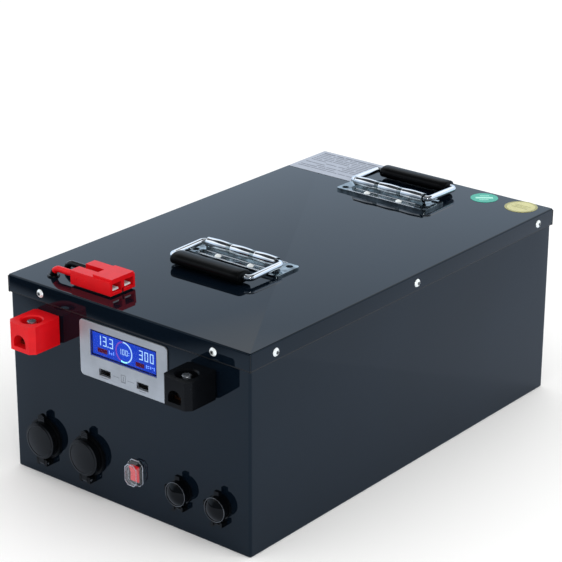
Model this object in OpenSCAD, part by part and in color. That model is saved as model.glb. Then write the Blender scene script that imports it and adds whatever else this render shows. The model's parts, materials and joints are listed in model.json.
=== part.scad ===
// Deep cycle battery in a folded steel case, with a screwed lid, two folding
// handles, two bolt terminals, a display panel, capped power outlets, a rocker
// switch and a two-pole charging connector on the lid.
// Millimetres. The case stands on z = 0, its front face looks along -Y, and the
// origin is the centre of its underside.

/* [Case and lid] */
// Width over the lid
lid_w = 280; // [270:1:300]
// Length over the lid
lid_l = 456; // [440:1:480]
// Height from the underside to the top of the lid
total_h = 188; // [186:1:200]
// Depth of the skirt that the lid folds down over the case
skirt_h = 16.5; // [14:0.5:18]
// Sheet steel thickness of the case and the lid
sheet = 1.2; // [1:0.1:1.5]
// Gap between the case wall and the skirt
lid_gap = 0.2; // [0.2:0.1:0.5]
// Thickness of the foam seal under the lid
seal_t = 2; // [2:0.5:3]

/* [Lid screws] */
// Distance from the case centre line to a front or rear screw
end_screw_x = 100; // [80:1:110]
// Pitch of the three screws along each long side
side_screw_pitch = 198.5; // [180:0.5:205]
// How far the row of side screws sits behind the middle of the case
side_screw_shift = 3; // [0:1:6]
// Distance of the screws below the top of the lid
screw_drop = 8.7; // [8.7:0.1:9.5]

/* [Fittings] */
// How far the handles and the front fittings sit left of the case's middle
fitting_shift = 2; // [0:0.5:3]

/* [Handles] */
// Distance of the front handle's pivot ahead of the case centre
front_pivot_y = 69.5; // [60:0.5:75]
// Distance of the rear handle's pivot behind the case centre
rear_pivot_y = 154.5; // [140:0.5:155]
// Length of the handle's base plate
plate_w = 107; // [104:1:112]
// Width of the handle's base plate
plate_d = 33; // [32:1:36]
// Height of the pivot above the lid
pivot_h = 7.5; // [7.5:0.1:8]
// Distance from the pivot to the middle of the grip
arm_l = 44.5; // [44:0.5:48]
// Radius of the bail's wire
wire_r = 3; // [2.8:0.05:3]
// Half the distance between the bail's arms
arm_x = 46; // [46:0.1:47]

/* [Bolt terminals] */
// Distance of each terminal from the case centre line
terminal_x = 90; // [88:1:98]
// Height of the terminal block's underside
terminal_z = 137.5; // [130:0.5:138]
// Width of the terminal block
block_w = 31; // [30:1:34]
// How far the terminal block stands out
block_d = 36; // [34:1:38]
// Height of the terminal block
block_h = 25.5; // [25:0.5:28]
// Radius of the terminal stud
stud_r = 4; // [4]

/* [Display panel] */
// Width of the aluminium faceplate
panel_w = 102; // [100:1:110]
// Height of the aluminium faceplate
panel_h = 52.5; // [52:0.5:56]
// Height of the faceplate's centre
panel_z = 142.6; // [138:0.2:143]
// Width of the window
window_w = 77; // [76:1:78]
// Height of the window
window_h = 24; // [23:0.5:24]

/* [Outlets and switch] */
// Height of the row of outlets
outlet_z = 39; // [38:0.5:45]
// Distance of the outer accessory socket from the centre line
left_socket_x = 98; // [96:0.5:100]
// Distance of the inner accessory socket from the centre line
right_socket_x = 44.5; // [42:0.5:46]
// Radius of an accessory socket's flange
flange_r = 19; // [19:0.5:20]
// Bore radius of an accessory socket
socket_r = 10.55; // [10.5:0.05:10.6]
// Distance of the inner round power socket from the centre line
left_dc_x = 64.5; // [62:0.5:68]
// Distance of the outer round power socket from the centre line
right_dc_x = 108.5; // [106:0.5:112]
// Distance of the switch from the centre line
switch_x = 11; // [8:0.5:14]

/* [Charging connector] */
// Distance of the connector's middle left of the centre line
conn_x = 53.5; // [50:0.5:56]
// Distance of the connector's middle ahead of the case centre
conn_y = 197; // [190:0.5:200]
// Length of the connector housing
conn_l = 48; // [46:1:50]
// Width of the connector housing
conn_w = 31; // [30:1:32]
// Radius of the connector's leads
lead_r = 2.9; // [2.5:0.1:2.9]

/* [Cells] */
// Width of a cell, terminal face to bottom
cell_w = 207; // [205:1:208]
// Thickness of a cell
cell_t = 71.5; // [70:0.5:71.5]
// Height of a cell lying on its narrow side
cell_h = 174; // [172:1:174]

/* [Hidden] */
$fn = 64;
cut = 1;

// Case and lid
case_w = lid_w - 2 * (sheet + lid_gap);
case_l = lid_l - 2 * (sheet + lid_gap);
case_h = total_h - sheet - seal_t;
case_r = 2.5;
rim_w = 10;
lid_r = 2;
face_y = -case_l / 2;
screw_z = total_h - screw_drop;
side_screw_y = [for (i = [-1, 0, 1]) side_screw_shift + i * side_screw_pitch];

// Button-head screws and their weld nuts
screw_r = 2;
screw_l = 9;
head_r = 3.9;
head_h = 2.2;
hex_key_r = 1.45;
nut_flats = 7;
nut_t = 3.2;
hole_clear = 0.2;
thread_clear = 0.02;

// Handles
plate_t = 2.2;
tube_r = 4.7;
tube_l = 82;
tube_neck = 5;
pivot_clear = 0.05;
elbow_r = 4.5;
stub_l = 22;
grip_l = 80;
grip_r = 5.6;
grip_half = 3.9;
fold_drop = 0.7;
fold_a = asin(fold_drop / arm_l);
rivet_x = 19;
rivet_y = 11.5;
rivet_r = 2;
rivet_head_r = 3.4;
rivet_head_h = 2;
rivet_tail = 2;
spare_hole_x = 46.6;
spare_hole_y = 10;
spare_hole_r = 3.3;

// Bolt terminals
block_corner = 4.6;
block_back = 2.5;
well_r = 9.4;
well_y = 20.5;
bar_w = 14;
bar_t = 2.5;
bar_z = 4;
bar_in = 22;
bar_out = 28.3;
arch_r = 7.2;
arch_z = 8.2;
stud_top = 24.5;
stud_core_r = 3.3;
stud_head_r = 6;
stud_head_t = 1.2;
washer_r = 8;
washer_t = 1.6;
spring_r = 6.6;
spring_t = 2;
stud_nut_flats = 13;
stud_nut_t = 6.5;
nut_top = bar_z + bar_t + washer_t + spring_t + stud_nut_t;
block_screw_x = 10.5;
block_screw_z = 19;
block_screw_depth = 8;

// Display panel
face_t = 1.6;
panel_r = 4;
window_y = 7.2;
window_t = 1.2;
glass_gap = 0.2;
screen_t = 3.8;
housing_w = 96;
housing_h = 46.5;
housing_d = 24;
housing_wall = 1.5;
board_z = 16;
board_t = 1.6;
usb_x = 22;
usb_y = -18.2;
usb_w = 12.5;
usb_h = 5.1;
usb_wall = 0.3;
tongue_w = 11.1;
tongue_t = 1.8;

// Accessory sockets
flange_t = 3;
barrel_r = 14;
barrel_d = 46;
sleeve_t = 0.6;
sleeve_d = 36;
contact_r = 4;
contact_l = 5;
cap_r = 17;
cap_gap = 0.3;
cap_t = 8.2;
cap_crown = 2;
tab_w = 7.6;
tab_top = 21.5;
tab_t = 3.3;
hinge_y = -21.5;
hinge_z = 5.8;
pin_r = 1;
lug_in = 3.2;
lug_out = 6.5;
knuckle_r = 2.6;
ring_nut_r = 18;
ring_nut_t = 8;

// Round power sockets and their rubber caps
dc_ring_r = 11.5;
dc_ring_t = 2.5;
dc_body_r = 8;
dc_body_d = 18;
dc_neck_t = 3;
dc_bore_r = 6.2;
dc_bore_d = 8;
dc_pin_x = 2.6;
dc_cap_r = 10.5;
dc_cap_top = 13;
dc_crown = 4;
dc_recess_r = 8.6;
dc_recess_top = 6;
bead_y = -14.5;
bead_z = 4.6;
bead_r = 1.6;
ear_in = 3.8;
ear_out = 5.8;
dc_nut_r = 11;

// Rocker switch
bezel_w = 14;
bezel_h = 20;
bezel_t = 1.6;
switch_hole_w = 10.5;
switch_hole_h = 16.5;
rocker_w = 9.9;
rocker_half = 7.3;
rocker_pivot = -1;
rocker_tilt = 8;
trunnion_r = 1.2;
trunnion_l = 11.6;
boot_w = 16.8;
boot_h = 24;
boot_d = 7.5;
boot_wall = 0.7;
boot_corner = 4;

// Charging connector on the lid
conn_pad_t = 1.5;
conn_top = 14.5;
conn_plate_t = 2;
conn_plate_l = 22;
conn_groove = 4;
pole_y = 8.5;
pole_z = 8;
pole_r = 3.4;
cavity_w = 11;
cavity_l = 16;
cavity_low = 4;
cavity_high = 12;
blade_t = 1.6;
blade_w = 8;
lead_straight = 44;
lead_bend = 8;
lead_below = 14;

// Cells and what holds them
base_pad_t = 3;
top_pad_t = 5.5;
cell_gap = 1;
end_plate_t = 5;
pack_x = -124;
pack_y = -85;
cell_z = sheet + base_pad_t;
cell_pitch = cell_t + cell_gap;
post_r = 8;
post_l = 3.5;
post_z = 60;
cell_stud_r = 3;
cell_stud_l = 12;
link_t = 2;
link_w = 20;
pack_l = 4 * cell_pitch + cell_gap + 2 * end_plate_t;
strap_t = 0.8;
strap_w = 14;
strap_zs = [66, 116];
post_x = pack_x + cell_w;
cable_r = 4.5;

// ---------------------------------------------------------------- helpers

// Rectangle with round corners, centred
module rounded_rect(w, l, r) {
  square([w - 2 * r, l], center = true);
  square([w, l - 2 * r], center = true);
  for (x = [-1, 1], y = [-1, 1])
    translate([x * (w / 2 - r), y * (l / 2 - r)])
      circle(r);
}

// Rectangle with cut corners, centred
module cut_rect(w, h, c) {
  polygon([[-w / 2 + c, -h / 2], [w / 2 - c, -h / 2], [w / 2, -h / 2 + c], [w / 2, h / 2 - c],
    [w / 2 - c, h / 2], [-w / 2 + c, h / 2], [-w / 2, h / 2 - c], [-w / 2, -h / 2 + c]]);
}

// Places its children on the front face: x to the right, y up, z straight out
module on_face(x, z) {
  translate([x - fitting_shift, face_y, z])
    rotate([90, 0, 0])
      children();
}

// A solid dome of base radius r and height h
module dome(r, h) {
  ball = (r * r + h * h) / (2 * h);
  intersection() {
    translate([0, 0, h - ball])
      sphere(ball);
    cylinder(r = r + cut, h = h + cut);
  }
}

// Hexagonal nut on z = 0
module hex_nut(flats, bore, t) {
  difference() {
    cylinder(r = flats / sqrt(3), h = t, $fn = 6);
    translate([0, 0, -cut])
      cylinder(r = bore, h = t + 2 * cut);
  }
}

// A cylinder along X, centred on the origin
module rod_x(r, l) {
  rotate([0, 90, 0])
    cylinder(r = r, h = l, center = true);
}

// Places its children at every lid screw: z points out of the skirt
module at_lid_screws() {
  for (s = [-1, 1]) {
    for (x = [-end_screw_x, end_screw_x])
      translate([x, s * lid_l / 2, screw_z])
        rotate([0, 0, s > 0 ? 180 : 0])
          rotate([90, 0, 0])
            children();
    for (y = side_screw_y)
      translate([s * lid_w / 2, y, screw_z])
        rotate([0, 0, s * 90])
          rotate([90, 0, 0])
            children();
  }
}

// Places its children on the lid at a handle: s = -1 front, 1 rear
module at_handle(s) {
  translate([-fitting_shift, s < 0 ? -front_pivot_y : rear_pivot_y, total_h])
    children();
}

module at_rivets() {
  for (x = [-rivet_x, rivet_x], y = [-rivet_y, rivet_y])
    translate([x, y, 0])
      children();
}

// Places its children at a terminal block: s = -1 positive, 1 negative
module at_terminal(s) {
  translate([s * terminal_x - fitting_shift, face_y, terminal_z])
    children();
}

// Places its children at the connector on the lid, mating face towards +X
module at_connector() {
  translate([-conn_x, -conn_y, total_h])
    children();
}

// Rounds each inner corner of a route with a quadratic curve that starts r away
function unit(v) = v / norm(v);
function corner_curve(a, b, c, r, steps) =
  let (p = b + r * unit(a - b), q = b + r * unit(c - b))
  [for (i = [0:steps]) let (t = i / steps) (1 - t) * (1 - t) * p + 2 * t * (1 - t) * b + t * t * q];
function rounded_route(p, r, steps) = concat([p[0]],
  [for (i = [1:len(p) - 2]) each corner_curve(p[i - 1], p[i], p[i + 1], r, steps)],
  [p[len(p) - 1]]);
function heading(p, i) = i == 0 ? unit(p[1] - p[0])
  : i == len(p) - 1 ? unit(p[i] - p[i - 1])
  : unit(unit(p[i + 1] - p[i]) + unit(p[i] - p[i - 1]));
function side_start(t) = unit(cross(t, abs(t[2]) < 0.9 ? [0, 0, 1] : [1, 0, 0]));
function sides(p, i = 0, s = []) = i == len(p) ? s
  : let (t = heading(p, i), u = i == 0 ? side_start(t) : unit(s[i - 1] - (s[i - 1] * t) * t))
    sides(p, i + 1, concat(s, [u]));

// A round cable swept along a route
module cable(route, r, n = 10) {
  u = sides(route);
  rings = [for (i = [0:len(route) - 1]) let (v = cross(heading(route, i), u[i]))
    for (k = [0:n - 1]) route[i] + r * (cos(360 * k / n) * u[i] + sin(360 * k / n) * v)];
  last = (len(route) - 1) * n;
  skin = [for (i = [0:len(route) - 2], k = [0:n - 1]) let (a = i * n + k, b = i * n + (k + 1) % n)
    each [[a, b, b + n], [a, b + n, a + n]]];
  polyhedron(rings, concat([[for (k = [n - 1:-1:0]) k], [for (k = [0:n - 1]) last + k]],
    [for (f = skin) [f[0], f[2], f[1]]]));
}

// ---------------------------------------------------------- case and lid

module case_tub() {
  color("#1b1f24")
    difference() {
      union() {
        difference() {
          linear_extrude(case_h)
            rounded_rect(case_w, case_l, case_r);
          translate([0, 0, sheet])
            linear_extrude(case_h)
              rounded_rect(case_w - 2 * sheet, case_l - 2 * sheet, case_r - sheet);
        }
        translate([0, 0, case_h - sheet])
          linear_extrude(sheet)
            difference() {
              rounded_rect(case_w - sheet, case_l - sheet, case_r - sheet / 2);
              square([case_w - 2 * rim_w, case_l - 2 * rim_w], center = true);
            }
      }
      at_lid_screws()
        translate([0, 0, -screw_l])
          cylinder(r = screw_r + hole_clear, h = screw_l);
      for (x = [-left_socket_x, -right_socket_x])
        on_face(x, outlet_z)
          cylinder(r = barrel_r + hole_clear, h = 4 * sheet, center = true);
      for (x = [left_dc_x, right_dc_x])
        on_face(x, outlet_z)
          cylinder(r = dc_body_r + hole_clear, h = 4 * sheet, center = true);
      on_face(switch_x, outlet_z)
        cube([13.2, 19.2, 4 * sheet], center = true);
      on_face(0, panel_z)
        cube([housing_w + 1, housing_h + 1, 4 * sheet], center = true);
      for (s = [-1, 1])
        at_terminal(s) {
          translate([-bar_w / 2 - 0.3, -cut, bar_z - 0.3])
            cube([bar_w + 0.6, 2 * cut + sheet, bar_t + 0.6]);
          for (x = [-block_screw_x, block_screw_x])
            translate([x, 0, block_screw_z])
              rotate([90, 0, 0])
                cylinder(r = screw_r + hole_clear, h = 4 * sheet, center = true);
        }
    }
}

module lid() {
  color("#20252b")
    difference() {
      translate([0, 0, total_h - skirt_h])
        linear_extrude(skirt_h)
          rounded_rect(lid_w, lid_l, lid_r);
      translate([0, 0, total_h - skirt_h - cut])
        linear_extrude(skirt_h - sheet + cut)
          rounded_rect(lid_w - 2 * sheet, lid_l - 2 * sheet, lid_r / 2);
      at_lid_screws()
        translate([0, 0, -2 * sheet])
          cylinder(r = screw_r + hole_clear, h = 3 * sheet);
      for (s = [-1, 1])
        at_handle(s)
          at_rivets()
            cylinder(r = rivet_r + pivot_clear, h = 4 * sheet, center = true);
      at_connector()
        for (y = [-pole_y, pole_y])
          translate([-lead_straight - lead_bend, y, 0])
            cylinder(r = 4.2, h = 4 * sheet, center = true);
    }
}

module lid_seal() {
  color("#2b2b2b")
    translate([0, 0, case_h])
      linear_extrude(seal_t)
        difference() {
          rounded_rect(case_w - 1, case_l - 1, case_r);
          square([case_w - 2 * rim_w + 2, case_l - 2 * rim_w + 2], center = true);
        }
}

module lid_screws() {
  color("#d9dce0")
    at_lid_screws()
      difference() {
        union() {
          dome(head_r, head_h);
          translate([0, 0, -screw_l])
            cylinder(r = screw_r, h = screw_l);
        }
        translate([0, 0, 0.8])
          cylinder(r = hex_key_r, h = head_h, $fn = 6);
      }
}

module lid_weld_nuts() {
  color("#9a9da1")
    at_lid_screws()
      translate([0, 0, -2 * sheet - lid_gap - nut_t])
        hex_nut(nut_flats, screw_r + thread_clear, nut_t);
}

// ---------------------------------------------------------------- handles

// Base plate with a folded tube along its middle
module handle_plate() {
  color("#cfd3d6")
    difference() {
      union() {
        linear_extrude(plate_t)
          rounded_rect(plate_w, plate_d, 3);
        translate([-tube_l / 2, -tube_neck / 2, 0])
          cube([tube_l, tube_neck, pivot_h]);
        translate([0, 0, pivot_h])
          rod_x(tube_r, tube_l);
      }
      translate([0, 0, pivot_h])
        rod_x(wire_r + pivot_clear, tube_l + 2 * cut);
      at_rivets()
        cylinder(r = rivet_r + pivot_clear, h = 3 * plate_t, center = true);
      for (x = [-spare_hole_x, spare_hole_x], y = [-spare_hole_y, spare_hole_y])
        translate([x, y, 0])
          cylinder(r = spare_hole_r, h = 3 * plate_t, center = true);
    }
}

module front_handle_plate() { at_handle(-1) handle_plate(); }
module rear_handle_plate() { at_handle(1) handle_plate(); }

// Lays a bail or grip drawn along -Y at the pivot down on the lid
module folded(s) {
  at_handle(s)
    translate([0, 0, pivot_h])
      rotate([-s * fold_a, 0, 0])
        rotate([0, 0, s < 0 ? 0 : 180])
          children();
}

// Quarter bend of the bail's wire, from +X heading to -Y
module wire_elbow() {
  rotate_extrude(angle = 90)
    translate([elbow_r, 0])
      circle(wire_r);
}

module bail() {
  color("#d6dadd")
    for (s = [0, 1])
      mirror([s, 0, 0]) {
        translate([tube_l / 2 - stub_l, 0, 0])
          rotate([0, 90, 0])
            cylinder(r = wire_r, h = arm_x - elbow_r - tube_l / 2 + stub_l);
        translate([arm_x - elbow_r, -elbow_r, 0])
          wire_elbow();
        translate([arm_x, -arm_l + elbow_r, 0])
          rotate([-90, 0, 0])
            cylinder(r = wire_r, h = arm_l - 2 * elbow_r);
        translate([arm_x - elbow_r, -arm_l + elbow_r, 0])
          rotate([0, 0, -90])
            wire_elbow();
        translate([0, -arm_l, 0])
          rotate([0, 90, 0])
            cylinder(r = wire_r, h = arm_x - elbow_r);
      }
}

module grip() {
  color("#141414")
    translate([0, -arm_l, 0])
      difference() {
        union() {
          for (y = [-grip_half, grip_half])
            translate([0, y, 0])
              rod_x(grip_r, grip_l);
          cube([grip_l, 2 * grip_half, 2 * grip_r], center = true);
        }
        rod_x(wire_r + thread_clear, grip_l + 2 * cut);
      }
}

module front_handle_bail() { folded(-1) bail(); }
module rear_handle_bail() { folded(1) bail(); }
module front_handle_grip() { folded(-1) grip(); }
module rear_handle_grip() { folded(1) grip(); }

module handle_rivets() {
  color("#e4e6e8")
    for (s = [-1, 1])
      at_handle(s)
        at_rivets() {
          translate([0, 0, plate_t])
            dome(rivet_head_r, rivet_head_h);
          translate([0, 0, -sheet])
            cylinder(r = rivet_r, h = sheet + plate_t);
          translate([0, 0, -sheet - rivet_tail])
            cylinder(r = 3, h = rivet_tail);
        }
}

// --------------------------------------------------------- bolt terminals

// Insulating block: a well round the stud and an arched way in for the cable
module terminal_block() {
  difference() {
    linear_extrude(block_h)
      polygon([[-block_w / 2 + block_back, 0], [-block_w / 2, -block_back],
        [-block_w / 2, -block_d + block_corner], [-block_w / 2 + block_corner, -block_d],
        [block_w / 2 - block_corner, -block_d], [block_w / 2, -block_d + block_corner],
        [block_w / 2, -block_back], [block_w / 2 - block_back, 0]]);
    translate([0, -well_y, bar_z + bar_t])
      cylinder(r = well_r, h = block_h);
    translate([0, -well_y, block_h - 1.2])
      cylinder(r1 = well_r, r2 = well_r + 1.3, h = 1.3);
    translate([-arch_r, -block_d - cut, bar_z])
      cube([2 * arch_r, block_d - well_y + cut, arch_z - bar_z]);
    intersection() {
      translate([0, -well_y, arch_z])
        rotate([90, 0, 0])
          cylinder(r = arch_r, h = block_d);
      translate([-block_w, -2 * block_d, bar_z])
        cube([2 * block_w, 2 * block_d, block_h]);
    }
    translate([-bar_w / 2, -bar_out, bar_z])
      cube([bar_w, bar_out + cut, bar_t]);
    translate([0, -well_y, bar_z - stud_head_t])
      cylinder(r = stud_head_r + thread_clear, h = stud_head_t + cut);
    for (x = [-block_screw_x, block_screw_x])
      translate([x, cut, block_screw_z])
        rotate([90, 0, 0])
          cylinder(r = screw_r + thread_clear, h = block_screw_depth + cut);
  }
}

module positive_terminal_block() { color("#c81018") at_terminal(-1) terminal_block(); }
module negative_terminal_block() { color("#15171b") at_terminal(1) terminal_block(); }

module terminal_busbars() {
  color("#b87333")
    for (s = [-1, 1])
      at_terminal(s)
        difference() {
          translate([-bar_w / 2, -bar_out, bar_z])
            cube([bar_w, bar_out + bar_in, bar_t]);
          translate([0, -well_y, 0])
            cylinder(r = stud_core_r + thread_clear, h = block_h);
        }
}

// The stud is drawn at its thread's core where the bar, washers and nut grip it
module terminal_studs() {
  color("#d8d8d0")
    for (s = [-1, 1])
      at_terminal(s)
        translate([0, -well_y, bar_z - stud_head_t]) {
          cylinder(r = stud_head_r, h = stud_head_t);
          cylinder(r = stud_core_r, h = stud_top - bar_z + stud_head_t);
          translate([0, 0, nut_top - bar_z + stud_head_t])
            cylinder(r = stud_r, h = stud_top - nut_top);
        }
}

module ring(outer, inner, t) {
  difference() {
    cylinder(r = outer, h = t);
    translate([0, 0, -cut])
      cylinder(r = inner, h = t + 2 * cut);
  }
}

module terminal_washers() {
  color("#c9ccd0")
    for (s = [-1, 1])
      at_terminal(s)
        translate([0, -well_y, bar_z + bar_t]) {
          ring(washer_r, stud_core_r + hole_clear, washer_t);
          translate([0, 0, washer_t])
            ring(spring_r, stud_core_r + hole_clear, spring_t);
        }
}

module terminal_nuts() {
  color("#d5d8dc")
    for (s = [-1, 1])
      at_terminal(s)
        translate([0, -well_y, bar_z + bar_t + washer_t + spring_t])
          hex_nut(stud_nut_flats, stud_core_r + thread_clear, stud_nut_t);
}

module terminal_block_screws() {
  color("#c9ccd0")
    for (s = [-1, 1])
      at_terminal(s)
        for (x = [-block_screw_x, block_screw_x])
          translate([x, sheet, block_screw_z])
            rotate([90, 0, 0]) {
              cylinder(r = screw_r, h = sheet + block_screw_depth - 0.5);
              translate([0, 0, -2.4])
                cylinder(r = 3.5, h = 2.4);
            }
}

// ---------------------------------------------------------- display panel

module display_faceplate() {
  color("#b9bcbf")
    on_face(0, panel_z)
      difference() {
        linear_extrude(face_t)
          rounded_rect(panel_w, panel_h, panel_r);
        translate([0, window_y, 0])
          cube([window_w + 0.4, window_h + 0.4, 4 * face_t], center = true);
        for (x = [-usb_x, usb_x])
          translate([x, usb_y, 0])
            cube([usb_w + 1.1, usb_h + 1.1, 4 * face_t], center = true);
      }
}

module display_window() {
  color([0.6, 0.75, 1, 0.4])
    on_face(0, panel_z)
      translate([-window_w / 2, window_y - window_h / 2, glass_gap])
        cube([window_w, window_h, window_t]);
}

module display_screen() {
  color("#1438d8")
    on_face(0, panel_z)
      translate([-window_w / 2 - 1.5, window_y - window_h / 2 - 1.5, -screen_t])
        cube([window_w + 3, window_h + 3, screen_t]);
}

module display_board() {
  color("#1f6b3a")
    on_face(0, panel_z)
      translate([-housing_w / 2 + 2, -housing_h / 2 + 2, -board_z - board_t])
        cube([housing_w - 4, housing_h - 4, board_t]);
}

module display_housing() {
  color("#1a1a1a")
    on_face(0, panel_z)
      difference() {
        translate([-housing_w / 2, -housing_h / 2, -housing_d])
          cube([housing_w, housing_h, housing_d]);
        translate([-housing_w / 2 + housing_wall, -housing_h / 2 + housing_wall, -housing_d + housing_wall])
          cube([housing_w - 2 * housing_wall, housing_h - 2 * housing_wall, housing_d]);
      }
}

module at_usb() {
  on_face(0, panel_z)
    for (x = [-usb_x, usb_x])
      translate([x, usb_y, 0])
        children();
}

module usb_ports() {
  color("#a8abae")
    at_usb()
      difference() {
        translate([-usb_w / 2 - usb_wall, -usb_h / 2 - usb_wall, -board_z])
          cube([usb_w + 2 * usb_wall, usb_h + 2 * usb_wall, board_z]);
        translate([-usb_w / 2, -usb_h / 2, -board_z + 1])
          cube([usb_w, usb_h, board_z]);
      }
}

module usb_tongues() {
  color("#101010")
    at_usb()
      translate([-tongue_w / 2, 0.3, -board_z + 1])
        cube([tongue_w, tongue_t, board_z - 2]);
}

// ------------------------------------------------------ accessory sockets

// Flanged barrel behind the panel, with two hinge lugs below the mouth
module socket_body() {
  color("#17191c")
    difference() {
      union() {
        cylinder(r = flange_r, h = flange_t);
        translate([0, 0, -barrel_d])
          cylinder(r = barrel_r, h = barrel_d + cut);
        for (s = [0, 1])
          mirror([s, 0, 0])
            translate([lug_in, hinge_y - 3, 0])
              cube([lug_out - lug_in, 6, hinge_z + 2.2]);
      }
      translate([0, 0, -barrel_d + 3])
        cylinder(r = socket_r + sleeve_t + thread_clear, h = barrel_d + flange_t);
      translate([0, hinge_y, hinge_z])
        rod_x(pin_r + thread_clear, 2 * lug_out + 2 * cut);
    }
}

module left_socket_body() { on_face(-left_socket_x, outlet_z) socket_body(); }
module right_socket_body() { on_face(-right_socket_x, outlet_z) socket_body(); }

module at_sockets() {
  for (x = [-left_socket_x, -right_socket_x])
    on_face(x, outlet_z)
      children();
}

module socket_sleeves() {
  color("#c7c9c4")
    at_sockets()
      translate([0, 0, -sleeve_d])
        ring(socket_r + sleeve_t, socket_r, sleeve_d + flange_t - 0.5);
}

module socket_contacts() {
  color("#c9a24a")
    at_sockets()
      translate([0, 0, -barrel_d + 3]) {
        cylinder(r = contact_r, h = contact_l - 2);
        translate([0, 0, contact_l - 2])
          dome(contact_r, 2);
      }
}

// Crowned disc with a thumb tab above and a hinge knuckle below
module socket_cap() {
  low = flange_t + cap_gap;
  color("#1c1f23")
    difference() {
      union() {
        translate([0, 0, low])
          cylinder(r = cap_r, h = cap_t - cap_crown);
        translate([0, 0, low + cap_t - cap_crown])
          dome(cap_r, cap_crown);
        translate([-tab_w / 2, cap_r - 3, low + 0.2])
          cube([tab_w, tab_top - cap_r + 3, tab_t]);
        translate([0, tab_top, low + 0.2])
          cylinder(r = tab_w / 2, h = tab_t);
        translate([0, hinge_y, hinge_z])
          rod_x(knuckle_r, 2 * lug_in - 0.6);
        translate([-lug_in + 0.3, hinge_y, low + 0.2])
          cube([2 * lug_in - 0.6, -hinge_y - cap_r + 3, 4.7]);
      }
      translate([0, hinge_y, hinge_z])
        rod_x(pin_r + pivot_clear, 2 * lug_out);
    }
}

module left_socket_cap() { on_face(-left_socket_x, outlet_z) socket_cap(); }
module right_socket_cap() { on_face(-right_socket_x, outlet_z) socket_cap(); }

module cap_hinge_pins() {
  color("#cfd2d5")
    at_sockets()
      translate([0, hinge_y, hinge_z])
        rod_x(pin_r, 2 * lug_out);
}

// ---------------------------------------------------- round power sockets

module dc_socket() {
  color("#16181b")
    difference() {
      union() {
        cylinder(r = dc_ring_r, h = dc_ring_t);
        translate([0, 0, -dc_body_d])
          cylinder(r = dc_body_r, h = dc_body_d + dc_ring_t + dc_neck_t);
        for (s = [0, 1])
          mirror([s, 0, 0])
            translate([ear_in, bead_y - 2.2, 0]) {
              cube([ear_out - ear_in, 4.5, bead_z + 2]);
              cube([ear_out - ear_in, 7, dc_ring_t]);
            }
        translate([-ear_in - 1, bead_y - 1, 0])
          rotate([0, 0, 215])
            cube([9, 3, 1.6]);
      }
      translate([0, 0, -dc_bore_d])
        cylinder(r = dc_bore_r, h = dc_bore_d + dc_ring_t + dc_neck_t + cut);
      translate([0, bead_y, bead_z])
        rod_x(pin_r + pivot_clear, 2 * ear_out + 2 * cut);
    }
}

module left_dc_socket() { on_face(left_dc_x, outlet_z) dc_socket(); }
module right_dc_socket() { on_face(right_dc_x, outlet_z) dc_socket(); }

module dc_socket_pins() {
  color("#d4af55")
    for (x = [left_dc_x, right_dc_x])
      on_face(x, outlet_z)
        for (p = [-dc_pin_x, dc_pin_x])
          translate([p, 0, -dc_bore_d])
            cylinder(r = 1, h = dc_bore_d - 1);
}

// Rubber cap with a thumb nub, a side lug and a strap that ends in a bead
module dc_cap() {
  low = dc_ring_t + cap_gap;
  color("#0f1012")
    difference() {
      union() {
        translate([0, 0, low])
          cylinder(r = dc_cap_r, h = dc_cap_top - dc_crown - low);
        translate([0, 0, dc_cap_top - dc_crown])
          dome(dc_cap_r, dc_crown);
        translate([-2.5, dc_cap_r - 2, low + 0.2])
          cube([5, 7.5, 3.5]);
        translate([-dc_cap_r - 4.5, -1, low + 0.2])
          cube([7, 4, 3.2]);
        translate([0, bead_y, bead_z])
          rod_x(bead_r, 2 * ear_in - 0.6);
        translate([0, bead_y, bead_z])
          rod_x(pin_r, 2 * ear_out);
        translate([-ear_in + 0.3, bead_y, bead_z - bead_r])
          cube([2 * ear_in - 0.6, -bead_y - dc_cap_r + 2, 2.6]);
      }
      translate([0, 0, low - cut])
        cylinder(r = dc_recess_r, h = dc_recess_top - low + cut);
    }
}

module left_dc_cap() { on_face(left_dc_x, outlet_z) dc_cap(); }
module right_dc_cap() { on_face(right_dc_x, outlet_z) dc_cap(); }

module panel_nuts() {
  color("#2a2c30") {
    at_sockets()
      translate([0, 0, -sheet - ring_nut_t])
        ring(ring_nut_r, barrel_r + thread_clear, ring_nut_t);
    for (x = [left_dc_x, right_dc_x])
      on_face(x, outlet_z)
        translate([0, 0, -sheet - 5])
          hex_nut(dc_nut_r * sqrt(3), dc_body_r + thread_clear, 5);
  }
}

// ----------------------------------------------------------- rocker switch

module switch_body() {
  color("#111214")
    on_face(switch_x, outlet_z)
      difference() {
        union() {
          translate([-bezel_w / 2, -bezel_h / 2, 0])
            cube([bezel_w, bezel_h, bezel_t]);
          translate([-6.4, -9.4, -16])
            cube([12.8, 18.8, 16 + cut]);
          for (y = [-6, 0, 6])
            translate([-2.4, y - 0.4, -23])
              cube([4.8, 0.8, 8]);
        }
        translate([-switch_hole_w / 2, -switch_hole_h / 2, -6])
          cube([switch_hole_w, switch_hole_h, 6 + bezel_t + cut]);
        translate([0, 0, rocker_pivot])
          rod_x(trunnion_r + pivot_clear, bezel_w);
      }
}

module switch_rocker() {
  color("#d4202a")
    on_face(switch_x, outlet_z)
      translate([0, 0, rocker_pivot])
        rotate([rocker_tilt, 0, 0]) {
          rod_x(trunnion_r, trunnion_l);
          rotate([90, 0, 90])
            linear_extrude(rocker_w, center = true)
              polygon([[-rocker_half, 1.5], [-rocker_half, 4.3], [0, 2.9], [rocker_half, 4.3],
                [rocker_half, 1.5], [4.5, -2.4], [-4.5, -2.4]]);
        }
}

module boot_shell(w, h, d, c) {
  hull() {
    linear_extrude(0.5)
      cut_rect(w, h, c);
    translate([0, 0, d - 0.5])
      linear_extrude(0.5)
        cut_rect(w - 3, h - 3.5, c);
  }
}

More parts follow.
